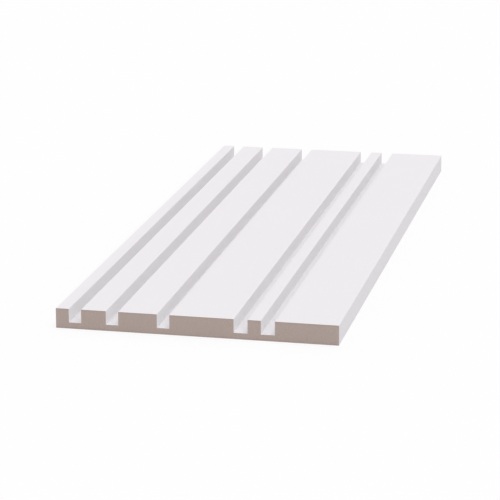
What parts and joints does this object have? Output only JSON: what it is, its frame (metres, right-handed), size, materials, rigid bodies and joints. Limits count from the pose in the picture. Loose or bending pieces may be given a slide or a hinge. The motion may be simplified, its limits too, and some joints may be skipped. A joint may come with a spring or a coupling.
{
  "type": "grooved wall panel",
  "caption": "Flat white-coated fibreboard wall panel with square grooves milled lengthwise into its face, leaving slats of uneven width; bare board at the sawn ends.",
  "frame": {"origin": "middle of the flat back, with the panel lying on its back", "axes": "+Z out of the grooved face, +Y along the grooves, +X across the panel from the edge with the narrow slats to the edge with the broad one"},
  "size_m": [0.225, 0.6, 0.016],
  "materials": {
    "coated_fibreboard": "matte"
  },
  "bodies": {
    "root": {"wall_panel": "coated_fibreboard"}
  },
  "joints": []
}
